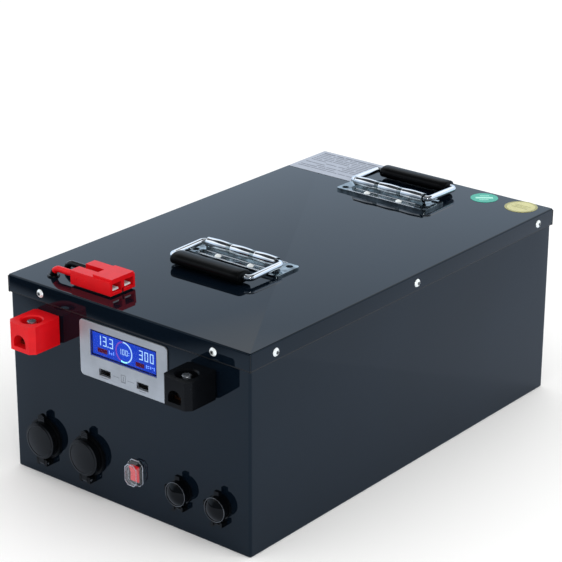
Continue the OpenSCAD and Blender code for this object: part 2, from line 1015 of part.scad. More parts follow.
module switch_boot() {
  color([0.85, 0.87, 0.9, 0.45])
    on_face(switch_x, outlet_z)
      difference() {
        boot_shell(boot_w, boot_h, boot_d, boot_corner);
        translate([0, 0, -0.01])
          boot_shell(boot_w - 2 * boot_wall, boot_h - 2 * boot_wall, boot_d - boot_wall, boot_corner - 2);
      }
}

// ------------------------------------------------------ charging connector

module connector_housing() {
  color("#c8101a")
    at_connector()
      difference() {
        union() {
          translate([-conn_l / 2, -conn_w / 2, conn_pad_t])
            cube([conn_l, conn_w, conn_top - conn_pad_t]);
          translate([conn_l / 2 - conn_plate_l, -conn_w / 2 + 1.5, conn_pad_t])
            cube([conn_plate_l, conn_w - 3, conn_top + conn_plate_t - conn_pad_t]);
        }
        translate([-conn_l / 2 - cut, -conn_groove, 5])
          cube([conn_l - conn_plate_l + cut, 2 * conn_groove, conn_top]);
        for (y = [-pole_y, pole_y]) {
          translate([0, y, pole_z])
            rod_x(pole_r, 2 * (conn_l / 2 - cavity_l));
          translate([-conn_l / 2, y, pole_z])
            rod_x(pole_r, conn_l);
          translate([conn_l / 2 - cavity_l, y - cavity_w / 2 - (y > 0 ? 1 : -1), cavity_low])
            cube([cavity_l + cut, cavity_w, cavity_high - cavity_low]);
        }
        translate([conn_l / 2 - 9, -1.2, 0])
          cube([9 + cut, 2.4, 5.5]);
      }
}

module connector_contacts() {
  color("#c8ccd0")
    at_connector()
      for (y = [-pole_y, pole_y]) {
        translate([-14, y, pole_z])
          rotate([0, 90, 0])
            cylinder(r = pole_r - 0.05, h = 16 + conn_l / 2 - cavity_l);
        translate([conn_l / 2 - cavity_l + 0.3, y - blade_w / 2 - (y > 0 ? 1 : -1), cavity_low + 1])
          cube([cavity_l - 2.3, blade_w, blade_t]);
      }
}

// One lead: straight out of the housing, a bend, and down through the lid
module lead(y) {
  at_connector() {
    translate([-lead_straight, y, pole_z])
      rotate([0, 90, 0])
        cylinder(r = lead_r, h = lead_straight - 14);
    translate([-lead_straight, y, pole_z - lead_bend])
      rotate([90, 0, 180])
        rotate_extrude(angle = 90)
          translate([lead_bend, 0])
            circle(lead_r);
    translate([-lead_straight - lead_bend, y, -lead_below])
      cylinder(r = lead_r, h = lead_below + pole_z - lead_bend);
  }
}

module connector_red_lead() { color("#c81018") lead(-pole_y); }
module connector_black_lead() { color("#111111") lead(pole_y); }

module lead_grommets() {
  color("#0c0c0c")
    at_connector()
      for (y = [-pole_y, pole_y])
        translate([-lead_straight - lead_bend, y, 0])
          rotate_extrude()
            polygon([[lead_r + pivot_clear, -3], [6, -3], [6, -sheet], [4.2, -sheet], [4.2, 0],
              [6, 0], [5.4, 1.4], [lead_r + 0.6, 1.4], [lead_r + pivot_clear, -sheet]]);
}

// --------------------------------------------------------------- cell pack

module at_cell(i) {
  translate([pack_x, pack_y + end_plate_t + cell_gap + i * cell_pitch, cell_z])
    children();
}

// Cell lying on its narrow side, both terminals on the +X face
module cell(i) {
  color("#2f5fae")
    at_cell(i) {
      cube([cell_w, cell_t, cell_h]);
      for (s = [-1, 1])
        translate([cell_w, cell_t / 2, cell_h / 2 + s * post_z])
          rotate([0, 90, 0]) {
            cylinder(r = post_r, h = post_l);
            cylinder(r = cell_stud_r, h = cell_stud_l);
          }
    }
}

module cell_1() { cell(0); }
module cell_2() { cell(1); }
module cell_3() { cell(2); }
module cell_4() { cell(3); }

// Copper links that join the cells in series
module cell_busbars() {
  color("#b87333")
    for (i = [0:2])
      at_cell(i)
        difference() {
          translate([cell_w + post_l, cell_t / 2 - link_w / 2, cell_h / 2 + (i % 2 == 0 ? 1 : -1) * post_z - link_w / 2])
            cube([link_t, cell_pitch + link_w, link_w]);
          for (k = [0, 1])
            translate([cell_w, cell_t / 2 + k * cell_pitch, cell_h / 2 + (i % 2 == 0 ? 1 : -1) * post_z])
              rotate([0, 90, 0])
                cylinder(r = cell_stud_r + hole_clear, h = 2 * cell_stud_l);
        }
}

module cell_nuts() {
  color("#d5d8dc")
    for (i = [0:3], s = [-1, 1])
      at_cell(i)
        translate([cell_w + post_l + link_t, cell_t / 2, cell_h / 2 + s * post_z])
          rotate([0, 90, 0])
            hex_nut(10, cell_stud_r + thread_clear, 5);
}

// End plates and the two steel straps that squeeze the cells together
module pack_frame() {
  color("#8d9196") {
    for (y = [pack_y, pack_y + pack_l - end_plate_t])
      translate([pack_x, y, cell_z])
        cube([cell_w, end_plate_t, cell_h]);
    for (z = strap_zs)
      translate([pack_x, pack_y, z])
        difference() {
          translate([-strap_t, -strap_t, 0])
            cube([cell_w + 2 * strap_t, pack_l + 2 * strap_t, strap_w]);
          translate([0, 0, -cut])
            cube([cell_w, pack_l, strap_w + 2 * cut]);
        }
  }
}

module foam_pads() {
  color("#3a3d40") {
    translate([pack_x, pack_y, sheet])
      cube([cell_w, pack_l, base_pad_t]);
    translate([pack_x + 4, pack_y + 4, cell_z + cell_h])
      cube([cell_w - 8, pack_l - 8, top_pad_t]);
    translate([-case_w / 2 + sheet, pack_y + 4, cell_z])
      cube([pack_x - strap_t + case_w / 2 - sheet, pack_l - 8, cell_h - 4]);
    translate([pack_x + 4, pack_y + pack_l + strap_t, cell_z])
      cube([cell_w - 8, case_l / 2 - sheet - pack_y - pack_l - strap_t, cell_h - 4]);
    at_connector()
      translate([-conn_l / 2 + 2, -conn_w / 2 + 2, 0])
        cube([conn_l - 4, conn_w - 4, conn_pad_t]);
  }
}

// Protection board on four spacers, under a finned heat sink
module bms_module() {
  color("#6f7479")
    translate([-60, pack_y - strap_t, 64]) {
      for (x = [10, 150], z = [8, 42])
        translate([x, 0, z])
          rotate([90, 0, 0])
            cylinder(r = 3, h = 4 + cut);
      translate([0, -14, 0])
        cube([160, 10, 50]);
      for (i = [0:15])
        translate([3 + i * 10, -24, 0])
          cube([4, 10 + cut, 50]);
    }
}

fuse_y = face_y + bar_in;
bar_mid_z = terminal_z + bar_z + bar_t / 2;
positive_route = [[-terminal_x - fitting_shift, fuse_y + 44, bar_mid_z], [-terminal_x - fitting_shift, -135, bar_mid_z],
  [-terminal_x - fitting_shift, -135, 60], [104, -135, 31.5], [104, -60, 31.5], [104, -20, 31.5]];
negative_route = [[104, 160, 31.5], [104, 120, 31.5], [120, 80, 31.5], [120, -70, 31.5],
  [120, -93, 60], [120, -93, 84], [100.2, -93, 84]];
output_route = [[100.2, -93, 104], [120, -93, 104], [120, -130, bar_mid_z],
  [terminal_x - fitting_shift, -170, bar_mid_z], [terminal_x - fitting_shift, fuse_y, bar_mid_z]];

// Main cables with a fuse block next to the positive busbar
module power_cables() {
  color("#7a1216") {
    cable(rounded_route(positive_route, 14, 5), cable_r);
    translate([-terminal_x - fitting_shift - 9, fuse_y, bar_mid_z - 7])
      cube([18, 44, 14]);
  }
  color("#161616") {
    cable(rounded_route(negative_route, 9, 4), cable_r);
    cable(rounded_route(output_route, 9, 4), cable_r);
  }
}

// ---------------------------------------------------------------- stickers

sticker_t = 0.25;

module info_label() {
  color("#b8bdc8")
    translate([-97.5, 196, total_h])
      linear_extrude(sticker_t)
        rounded_rect(82, 60, 1.5);
}

module green_sticker() {
  color("#22b58a")
    translate([72, 210, total_h])
      cylinder(r = 13.5, h = sticker_t);
}

module gold_sticker() {
  color("#cfc46a")
    translate([114, 211, total_h])
      cylinder(r = 16, h = sticker_t);
}

case_tub();
lid();
lid_seal();
lid_screws();
lid_weld_nuts();
front_handle_plate();
front_handle_bail();
front_handle_grip();
rear_handle_plate();
rear_handle_bail();
rear_handle_grip();
handle_rivets();
positive_terminal_block();
negative_terminal_block();
terminal_busbars();
terminal_studs();
terminal_washers();
terminal_nuts();
terminal_block_screws();
display_faceplate();
display_window();
display_screen();
display_board();
display_housing();
usb_ports();
usb_tongues();
left_socket_body();
right_socket_body();
socket_sleeves();
socket_contacts();
left_socket_cap();
right_socket_cap();
cap_hinge_pins();
left_dc_socket();
right_dc_socket();
dc_socket_pins();
left_dc_cap();
right_dc_cap();
panel_nuts();
switch_body();
switch_rocker();
switch_boot();
connector_housing();
connector_contacts();
connector_red_lead();
connector_black_lead();
lead_grommets();
cell_1();
cell_2();
cell_3();
cell_4();
cell_busbars();
cell_nuts();
pack_frame();
foam_pads();
bms_module();
power_cables();
info_label();
green_sticker();
gold_sticker();
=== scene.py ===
import json
import math
import random

import bmesh
import bpy
from mathutils import Matrix, Vector


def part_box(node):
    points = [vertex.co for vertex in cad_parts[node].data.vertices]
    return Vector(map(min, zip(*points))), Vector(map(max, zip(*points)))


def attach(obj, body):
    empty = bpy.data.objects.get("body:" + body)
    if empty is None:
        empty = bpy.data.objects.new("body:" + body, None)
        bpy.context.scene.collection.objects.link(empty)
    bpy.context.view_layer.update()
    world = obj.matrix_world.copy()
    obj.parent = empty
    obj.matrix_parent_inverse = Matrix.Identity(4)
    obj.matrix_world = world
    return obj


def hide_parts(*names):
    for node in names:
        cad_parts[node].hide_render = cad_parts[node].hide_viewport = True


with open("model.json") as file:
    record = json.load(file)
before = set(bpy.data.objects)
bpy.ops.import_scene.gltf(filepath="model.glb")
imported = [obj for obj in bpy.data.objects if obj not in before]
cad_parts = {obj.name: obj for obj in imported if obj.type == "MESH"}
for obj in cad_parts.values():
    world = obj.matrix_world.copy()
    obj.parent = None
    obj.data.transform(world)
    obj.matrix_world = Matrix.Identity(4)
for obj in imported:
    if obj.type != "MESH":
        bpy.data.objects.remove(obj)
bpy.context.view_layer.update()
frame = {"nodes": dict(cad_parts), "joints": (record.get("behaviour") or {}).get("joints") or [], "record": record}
NODES = frame["nodes"]
RECORD = frame["record"]
BODIES = {n: b for b, group in RECORD["behaviour"]["bodies"].items() for n in group}
JOINTS = {j["name"]: j for j in frame["joints"]}
MM = 0.001
TIP = 0.00001      # radius of a turned profile that ends on its axis, in metres
scene = bpy.context.scene
scene.view_settings.view_transform = "Standard"


# ---------------------------------------------------------------- camera

def place_camera(az, el, roll, back_m, right_m, up_m, lens):
    """Camera set by its viewing angle, its distance and its offset across the view."""
    az, el, roll = (math.radians(v) for v in (az, el, roll))
    back = Vector((math.sin(az) * math.cos(el), -math.cos(az) * math.cos(el), math.sin(el)))
    level = Vector((math.cos(az), math.sin(az), 0))
    rise = back.cross(level)
    right = level * math.cos(roll) + rise * math.sin(roll)
    up = rise * math.cos(roll) - level * math.sin(roll)
    at = back * back_m + right * right_m + up * up_m
    data = bpy.data.cameras.new("camera")
    data.lens = lens
    data.sensor_width = 36
    data.clip_end = 60
    camera = bpy.data.objects.new("camera", data)
    scene.collection.objects.link(camera)
    camera.matrix_world = Matrix((
        (right.x, up.x, back.x, at.x), (right.y, up.y, back.y, at.y),
        (right.z, up.z, back.z, at.z), (0, 0, 0, 1)))
    scene.camera = camera


place_camera(az=39.01, el=21.67, roll=0.23, back_m=1.986, right_m=-0.0098, up_m=0.1363, lens=132.7)


# ------------------------------------------------------------- materials

def link(tree, a, out, b, into):
    tree.links.new(a.outputs[out], b.inputs[into])


def material(name, color, rough=0.4, metal=0.0, grain=600, stretch=(1, 1, 1), rvar=0.05,
             bump=0.05, depth=0.0001, cvar=0.08, patch=60, ior=1.5, glow=0.0, light=None,
             spec=0.5, tint=None, alpha=1.0, wave=0.0, wave_scale=9):
    """A procedural finish: fine grain in roughness and height, broad drift in colour, slow waviness.

    rvar and cvar are how far roughness and colour drift, depth and wave are heights in metres,
    and light is the colour of the glow where it isn't the base colour.
    """
    m = bpy.data.materials.new(name)
    m.use_nodes = True
    t = m.node_tree
    b = t.nodes["Principled BSDF"]
    b.inputs["Metallic"].default_value = metal
    b.inputs["IOR"].default_value = ior
    b.inputs["Specular IOR Level"].default_value = spec
    b.inputs["Alpha"].default_value = alpha
    if tint:
        b.inputs["Specular Tint"].default_value = (*tint, 1)
    place = t.nodes.new("ShaderNodeTexCoord")
    shape = t.nodes.new("ShaderNodeMapping")
    shape.inputs["Scale"].default_value = stretch
    link(t, place, "Object", shape, "Vector")
    fine = t.nodes.new("ShaderNodeTexNoise")
    fine.inputs["Scale"].default_value = grain
    fine.inputs["Detail"].default_value = 4
    link(t, shape, "Vector", fine, "Vector")
    wide = t.nodes.new("ShaderNodeTexNoise")
    wide.inputs["Scale"].default_value = patch
    wide.inputs["Detail"].default_value = 3
    link(t, place, "Object", wide, "Vector")
    spread = t.nodes.new("ShaderNodeMapRange")
    spread.inputs["To Min"].default_value = max(0.0, rough - rvar)
    spread.inputs["To Max"].default_value = min(1.0, rough + rvar)
    link(t, fine, "Fac", spread, "Value")
    link(t, spread, "Result", b, "Roughness")
    ramp = t.nodes.new("ShaderNodeValToRGB")
    dark, pale = ramp.color_ramp.elements
    dark.position = 0.3
    pale.position = 0.7
    dark.color = (*[c * (1 - cvar) for c in color], 1)
    pale.color = (*[min(1.0, c * (1 + cvar)) for c in color], 1)
    link(t, wide, "Fac", ramp, "Fac")
    link(t, ramp, "Color", b, "Base Color")
    if glow:
        if light:
            b.inputs["Emission Color"].default_value = (*light, 1)
        else:
            link(t, ramp, "Color", b, "Emission Color")
        b.inputs["Emission Strength"].default_value = glow
    grainy = t.nodes.new("ShaderNodeBump")
    grainy.inputs["Strength"].default_value = bump
    grainy.inputs["Distance"].default_value = depth
    link(t, fine, "Fac", grainy, "Height")
    if wave:
        slow = t.nodes.new("ShaderNodeTexNoise")
        slow.inputs["Scale"].default_value = wave_scale
        slow.inputs["Detail"].default_value = 1
        link(t, place, "Object", slow, "Vector")
        wavy = t.nodes.new("ShaderNodeBump")
        wavy.inputs["Strength"].default_value = 1.0
        wavy.inputs["Distance"].default_value = wave
        link(t, slow, "Fac", wavy, "Height")
        link(t, wavy, "Normal", grainy, "Normal")
    link(t, grainy, "Normal", b, "Normal")
    return m


BLACK = material("black gloss paint", (0.0018, 0.0042, 0.0082), rough=0.035, rvar=0.02, grain=260,
                 bump=0.012, depth=0.00006, ior=1.325, tint=(0.74, 0.89, 1.0), cvar=0.25, patch=7,
                 wave=0.00012, wave_scale=6)
# Black for the lid's corner seams, and also painted shade along the skirt's lower edge and in the screws' key
# recesses
DARK = material("seam black and painted shade", (0.001, 0.001, 0.0012), rough=0.5, rvar=0.1)
CHROME = material("chrome plate", (0.80, 0.82, 0.85), rough=0.07, metal=1, rvar=0.03, grain=320,
                  bump=0.02, cvar=0.03, wave=0.00005, wave_scale=60)
TEAL = material("plated sheet", (0.34, 0.385, 0.40), rough=0.1, metal=1, rvar=0.06, grain=240,
                stretch=(0.12, 1, 1), bump=0.5, depth=0.0002, cvar=0.55, patch=130,
                wave=0.0001, wave_scale=70)
RIVET = material("bright rivet", (0.88, 0.93, 0.95), rough=0.3, metal=0.25, rvar=0.08, grain=900)
ZINC = material("zinc steel", (0.62, 0.63, 0.65), rough=0.28, metal=1, rvar=0.08, grain=900, bump=0.06)
BRUSHED = material("brushed aluminium", (0.50, 0.515, 0.53), rough=0.42, metal=0.85, rvar=0.2, grain=420,
                   stretch=(0.05, 1, 2.5), bump=0.3, depth=0.0001, cvar=0.1, patch=45)
COPPER = material("copper bar", (0.34, 0.16, 0.09), rough=0.3, metal=1, rvar=0.1, grain=500)
GOLD = material("gold contact", (0.83, 0.65, 0.3), rough=0.2, metal=1, grain=900)
RED = material("red moulding", (0.66, 0.003, 0.007), rough=0.34, rvar=0.06, grain=500, bump=0.05,
               cvar=0.06, patch=90, ior=1.4, spec=0.35)
ROCKER = material("red rocker", (0.60, 0.012, 0.02), rough=0.3, rvar=0.05, grain=800, glow=0.1,
                  light=(0.9, 0.08, 0.1), spec=0.3)
BLOCK = material("black moulding", (0.0022, 0.0026, 0.0034), rough=0.24, rvar=0.07, grain=450, bump=0.05,
                 cvar=0.15, ior=1.33, spec=0.2)
MATTE = material("matt black plastic", (0.0018, 0.0022, 0.0028), rough=0.34, rvar=0.08, grain=1200,
                 bump=0.12, ior=1.3, spec=0.35)
GLOSS = material("gloss black plastic", (0.0016, 0.002, 0.0026), rough=0.12, rvar=0.05, grain=500,
                 bump=0.03, ior=1.33, spec=0.4, wave=0.00004, wave_scale=80)
RUBBER = material("black rubber", (0.0018, 0.002, 0.0025), rough=0.18, rvar=0.08, grain=700, bump=0.1,
                  ior=1.36, spec=0.4)
GRIP = material("grip rubber", (0.0015, 0.0017, 0.0021), rough=0.3, rvar=0.08, grain=700, bump=0.1,
                ior=1.36, spec=0.15, stretch=(0.3, 1, 1))
CAP = material("gloss rubber", (0.0012, 0.0015, 0.002), rough=0.08, rvar=0.03, grain=300, bump=0.02,
               ior=1.24, wave=0.00006, wave_scale=90)
RIM = material("polished rim", (0.002, 0.0024, 0.003), rough=0.06, rvar=0.03, grain=300, bump=0.02,
               ior=2.0)
FOAM = material("grey foam", (0.08, 0.08, 0.085), rough=0.95, rvar=0.04, grain=1500, bump=0.6,
                depth=0.0004)
GLASS = material("display glass", (0.02, 0.02, 0.03), rough=0.03, rvar=0.01, alpha=0.06, bump=0.0,
                 cvar=0.0, ior=1.3)
BOOT = material("clear boot", (0.66, 0.70, 0.76), rough=0.12, rvar=0.06, grain=400, alpha=0.08, bump=0.08,
                ior=1.4, cvar=0.02)
LCD = material("blue backlight", (0.002, 0.012, 0.12), rough=0.3, glow=1.0, light=(0.008, 0.045, 0.50),
               spec=0.08, cvar=0.6, patch=30, bump=0.01)
LCD_DARK = material("display rim", (0.001, 0.002, 0.02), rough=0.3, glow=1.0, light=(0.002, 0.004, 0.05),
                    spec=0.1, bump=0.01)
LCD_LIT = material("lit digits", (0.1, 0.14, 0.2), rough=0.3, glow=1.0, light=(0.42, 0.68, 1.0), spec=0.1,
                   bump=0.01, cvar=0.03)
LCD_DIM = material("dim marks", (0.16, 0.32, 0.95), rough=0.3, glow=0.9, bump=0.01)
LCD_RED = material("dark red marks", (0.035, 0.002, 0.01), rough=0.3, glow=1.0, light=(0.045, 0.001, 0.02),
                   spec=0.1, bump=0.01)
LCD_MINT = material("gauge end", (0.25, 0.8, 0.72), rough=0.3, glow=1.0, bump=0.01)
LCD_PLUM = material("gauge start", (0.16, 0.03, 0.3), rough=0.3, glow=0.7, bump=0.01)
PRINT = material("grey print", (0.06, 0.065, 0.075), rough=0.5, bump=0.02)
BOARD = material("circuit board", (0.02, 0.16, 0.06), rough=0.4, grain=1500, cvar=0.2)
FILM = material("cell film", (0.05, 0.16, 0.42), rough=0.25, rvar=0.08, grain=200, wave=0.0002,
                wave_scale=30)
LABEL = material("silver label", (0.40, 0.43, 0.50), rough=0.38, rvar=0.06, grain=400, metal=0.25,
                 cvar=0.05)
INK = material("label ink", (0.15, 0.165, 0.21), rough=0.5, bump=0.02)
GREEN = material("green vinyl", (0.02, 0.38, 0.27), rough=0.25, rvar=0.05, grain=300)
MINT = material("mint mark", (0.35, 0.75, 0.62), rough=0.3, grain=300)
YELLOW = material("gold vinyl", (0.62, 0.58, 0.24), rough=0.28, rvar=0.06, grain=300, metal=0.2)
OLIVE = material("gold rim", (0.36, 0.34, 0.1), rough=0.3, grain=300, metal=0.2)
STAGE = material("pale floor", (0.86, 0.865, 0.875), rough=0.75, rvar=0.03, grain=40, bump=0.02,
                 cvar=0.01, patch=3, ior=1.2)


# ------------------------------------------------------------- mesh tools

def new_object(name, verts, faces, mat, sharp=35, bevel=0.0, segments=2, limit=40):
    """A smooth-shaded mesh, with its corners kept crisp and its edges rounded by bevel metres."""
    mesh = bpy.data.meshes.new(name)
    mesh.from_pydata([tuple(v) for v in verts], [], [tuple(f) for f in faces])
    mesh.validate()
    mesh.materials.append(mat)
    for p in mesh.polygons:
        p.use_smooth = True
    mesh.set_sharp_from_angle(angle=math.radians(sharp))
    o = bpy.data.objects.new(name, mesh)
    scene.collection.objects.link(o)
    if bevel:
        b = o.modifiers.new("edges", "BEVEL")
        b.width = bevel
        b.segments = segments
        b.limit_method = "ANGLE"
        b.angle_limit = math.radians(limit)
        b.harden_normals = True
        b.use_clamp_overlap = True
    return o


def on_body(o, node, hides=True):
    """Lets o move with the CAD body of a node, and hides that node unless hides is False."""
    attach(o, BODIES[node])
    if hides:
        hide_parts(node)
    return o


def clean_mesh(node, weld=2e-6, flat=0.5):
    """Vertices and faces of a CAD node, welded within weld metres, with near-coplanar faces joined."""
    bm = bmesh.new()
    bm.from_mesh(NODES[node].data)
    bmesh.ops.remove_doubles(bm, verts=bm.verts, dist=weld)
    bmesh.ops.dissolve_limit(bm, angle_limit=math.radians(flat), use_dissolve_boundaries=False,
                             verts=bm.verts, edges=bm.edges)
    bm.verts.index_update()
    verts = [v.co.copy() for v in bm.verts]
    faces = [[v.index for v in f.verts] for f in bm.faces]
    bm.free()
    return verts, faces


def finish_node(node, mat, bevel=0.0003, segments=2, sharp=35, limit=40):
    """Shows a CAD node with rounded edges and its own finish."""
    verts, faces = clean_mesh(node)
    o = new_object(node + "_shown", verts, faces, mat, sharp, bevel, segments, limit)
    return on_body(o, node)


def rounded_loop(w, l, r, steps=6):
    """Corner-rounded rectangle about the origin, as 2D points."""
    corners = ((1, 1), (-1, 1), (-1, -1), (1, -1))
    out = []
    for k, (sx, sy) in enumerate(corners):
        for i in range(steps + 1):
            a = math.radians(90 * k + 90 * i / steps)
            out.append((sx * (w / 2 - r) + r * math.cos(a), sy * (l / 2 - r) + r * math.sin(a)))
    return out


def join_rings(rings, close=True):
    """Faces between equal rings of points, with an end face on the first and last."""
    n = len(rings[0])
    verts = [v for ring in rings for v in ring]
    faces = []
    for i in range(len(rings) - 1):
        for k in range(n):
            a, b = i * n + k, i * n + (k + 1) % n
            faces.append((a, b, b + n, a + n))
    if close:
        faces.append(tuple(reversed(range(n))))
        faces.append(tuple((len(rings) - 1) * n + k for k in range(n)))
    return verts, faces


def bar(center, size, turn=0.0):
    """Verts and faces of a small block, turned about Z."""
    cx, cy, cz = center
    hx, hy, hz = (s / 2 for s in size)
    c, s = math.cos(turn), math.sin(turn)
    v = []
    for z in (-hz, hz):
        for x, y in ((-hx, -hy), (hx, -hy), (hx, hy), (-hx, hy)):
            v.append((cx + x * c - y * s, cy + x * s + y * c, cz + z))
    return v, [(3, 2, 1, 0), (4, 5, 6, 7), (0, 1, 5, 4), (1, 2, 6, 5), (2, 3, 7, 6), (3, 0, 4, 7)]


def merge(parts):
    """One (verts, faces) pair from several."""
    verts, faces = [], []
    for v, f in parts:
        n = len(verts)
        verts += list(v)
        faces += [tuple(i + n for i in face) for face in f]
    return verts, faces


def circle(r, steps):
    """Points of a circle about the origin, as 2D points."""
    turns = [2 * math.pi * k / steps for k in range(steps)]
    return [(r * math.cos(a), r * math.sin(a)) for a in turns]


def lathe(profile, steps=48):
    """An (r, z) profile turned about Z."""
    return join_rings([[(x, y, z) for x, y in circle(r, steps)] for r, z in profile])


def sweep(path, radius, steps=20):
    """A round tube along a path of points."""
    path = [Vector(p) for p in path]
    rings = []
    side = None
    for i, p in enumerate(path):
        d = (path[min(i + 1, len(path) - 1)] - path[max(i - 1, 0)]).normalized()
        if side is None:
            side = d.orthogonal().normalized()
        side = (side - d * side.dot(d)).normalized()
        up = d.cross(side)
        rings.append([p + radius * (x * side + y * up) for x, y in circle(1, steps)])
    return join_rings(rings)


def moved(part, matrix):
    """A (verts, faces) pair under a matrix."""
    verts, faces = part
    return [matrix @ Vector(v) for v in verts], faces


def torus(center, r, tube, steps=64, around=10):
    """A thin ring about an axis along Y."""
    loops = []
    for k in range(steps + 1):
        a = 2 * math.pi * k / steps
        loops.append([(center.x + (r + u) * math.cos(a), center.y + v, center.z + (r + u) * math.sin(a))
                      for u, v in circle(tube, around)])
    return join_rings(loops, close=False)


def middle(node):
    """Centre of a CAD node's box."""
    lo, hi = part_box(node)
    return (lo + hi) / 2


# ----------------------------------------------------------- case and lid

def build_case():
    """The tub, with only the fold round its underside rounded."""
    band, on_floor, bend = 1.2 * MM, 0.01 * MM, 1.4 * MM
    verts, faces = clean_mesh("case_tub")
    o = new_object("case_shown", verts, faces, BLACK, sharp=30)
    low = o.data.attributes.new("bevel_weight_edge", "FLOAT", "EDGE")
    lo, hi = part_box("case_tub")
    for e in o.data.edges:
        a, b = (o.data.vertices[i].co for i in e.vertices)
        mid = (a + b) / 2
        outer = min(mid.x - lo.x, hi.x - mid.x, mid.y - lo.y, hi.y - mid.y) < band
        if a.z < on_floor and b.z < on_floor and outer:
            low.data[e.index].value = 1.0
    b = o.modifiers.new("bottom bend", "BEVEL")
    b.width = bend
    b.segments = 4
    b.limit_method = "WEIGHT"
    b.harden_normals = True
    on_body(o, "case_tub")


def build_lid():
    """The folded lid, with a strip of painted shade along its lower edge and the seams at its corners."""
    lo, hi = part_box("lid")
    w, l = hi.x - lo.x, hi.y - lo.y
    corner, least = 1.9 * MM, 0.2 * MM
    bend, bend_steps, sheet = 1.5 * MM, 8, 1.5 * MM
    lip, lip_back, burr_in, burr_out = 1.1 * MM, 0.06 * MM, 0.2 * MM, 0.3 * MM

    def ring(inset, z):
        r = max(corner - inset, least)
        return [(x, y, z) for x, y in rounded_loop(w - 2 * inset, l - 2 * inset, r)]

    rings = [ring(sheet, hi.z - sheet), ring(sheet, lo.z + burr_in), ring(sheet - burr_in, lo.z),
             ring(burr_out, lo.z), ring(lip_back, lo.z + burr_out), ring(lip_back, lo.z + lip),
             ring(0, lo.z + lip)]
    for i in range(bend_steps + 1):
        a = math.radians(90 * i / bend_steps)
        rings.append(ring(bend * (1 - math.cos(a)), hi.z - bend + bend * math.sin(a)))
    verts, faces = join_rings(rings)
    on_body(new_object("lid_shown", verts, faces, BLACK, sharp=50), "lid")
    # Dark strip along the lower edge of the skirt: painted shade of the gap beneath it
    band = lip_back / 2
    verts, faces = join_rings([ring(band, lo.z + 0.1 * MM), ring(band, lo.z + lip)], close=False)
    on_body(new_object("lid_lip_shade", verts, faces, DARK), "lid", hides=False)
    # Butt seams where the folded flanges of the lid meet at its corners, each with a relief notch below
    seam_in, seam_w, seam_l = 0.62 * MM, 0.35 * MM, 1.75 * MM
    notch_in, notch_r, notch_h = 0.9 * MM, 1.1 * MM, 0.5 * MM
    axis = 10 * TIP
    notch = lathe([(axis, 0), (notch_r, 0), (notch_r, notch_h), (axis, notch_h)], 20)
    seams = []
    for sx in (-1, 1):
        for sy in (-1, 1):
            at = (sx * (w / 2 - seam_in), sy * (l / 2 - seam_in), (lo.z + hi.z - bend) / 2)
            seams.append(bar(at, (seam_w, seam_l, hi.z - lo.z - bend), turn=sx * sy * math.radians(-45)))
            at = (sx * (w / 2 - notch_in), sy * (l / 2 - notch_in), lo.z - notch_h / 2)
            seams.append(moved(notch, Matrix.Translation(at)))
    verts, faces = merge(seams)
    on_body(new_object("lid_seams", verts, faces, DARK), "lid", hides=False)


# ---------------------------------------------------------------- handles

def build_grip(node, pivot):
    """Moulded grip with a slightly square section, rounded ends and a fine parting line."""
    grip = middle(node)
    out = (grip - pivot).normalized()
    rise = Vector((1, 0, 0)).cross(out)
    lo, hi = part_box(node)
    half = (hi.x - lo.x) / 2
    wide, thick = (hi.y - lo.y) / 2, (hi.z - lo.z) / 2
    around, along, square, parting = 56, 12, 0.86, 0.12 * MM
    # Rounding of an end, as distances in from the end and cuts off the section
    ends = [(0.0, 2.2 * MM), (0.5 * MM, 1.1 * MM), (1.3 * MM, 0.35 * MM), (2.4 * MM, 0.0)]
    plain = ends[-1][0]
    stations = [(-half + d, cut) for d, cut in ends]
    stations += [(-half + plain + 2 * (half - plain) * i / along, 0) for i in range(1, along)]
    stations += [(half - d, cut) for d, cut in reversed(ends)]
    rings = []
    for x, cut in stations:
        ring = []
        for k, (c, s) in enumerate(circle(1, around)):
            u = math.copysign(abs(c) ** square, c) * (wide - cut)
            v = math.copysign(abs(s) ** square, s) * (thick - cut * 0.8)
            seam = parting if k in (0, around // 2) and not cut else 0.0
            ring.append(Vector((grip.x + x, grip.y, grip.z)) + out * (u + math.copysign(seam, u))
                        + rise * v)
        rings.append(ring)
    verts, faces = join_rings(rings)
    on_body(new_object(node + "_shown", verts, faces, GRIP, sharp=50), node)


def build_barrel(name, pivot, mid):
    """Rolled barrel of a handle plate in three swellings, with a groove at each third of its length."""
    plate = NODES[name + "plate"].data.vertices
    reach = max(v.co.x for v in plate if v.co.z > pivot.z) - mid
    around, along = 40, 108
    waist_r, swell, bore_r = 4.72 * MM, 0.45 * MM, 3.1 * MM
    groove_w, groove_d, rolled = 1.5 * MM, 0.5 * MM, 0.4 * MM

    def ring(x, r):
        return [(mid + x, pivot.y + u, pivot.z + v) for u, v in circle(r, around)]

    rings = [ring(-reach, bore_r)]
    for i in range(along + 1):
        x = -reach + 2 * reach * i / along
        third = math.cos(math.pi * 3 * x / (2 * reach)) ** 2
        groove = sum(math.exp(-((x - p * reach / 3) / groove_w) ** 2) for p in (-1, 1))
        edge = rolled if i in (0, along) else 0.0
        rings.append(ring(x, waist_r + swell * third - groove_d * groove - edge))
    rings.append(ring(reach, bore_r))
    verts, faces = join_rings(rings, close=False)
    on_body(new_object(name + "barrel", verts, faces, CHROME, sharp=60), name + "plate", hides=False)


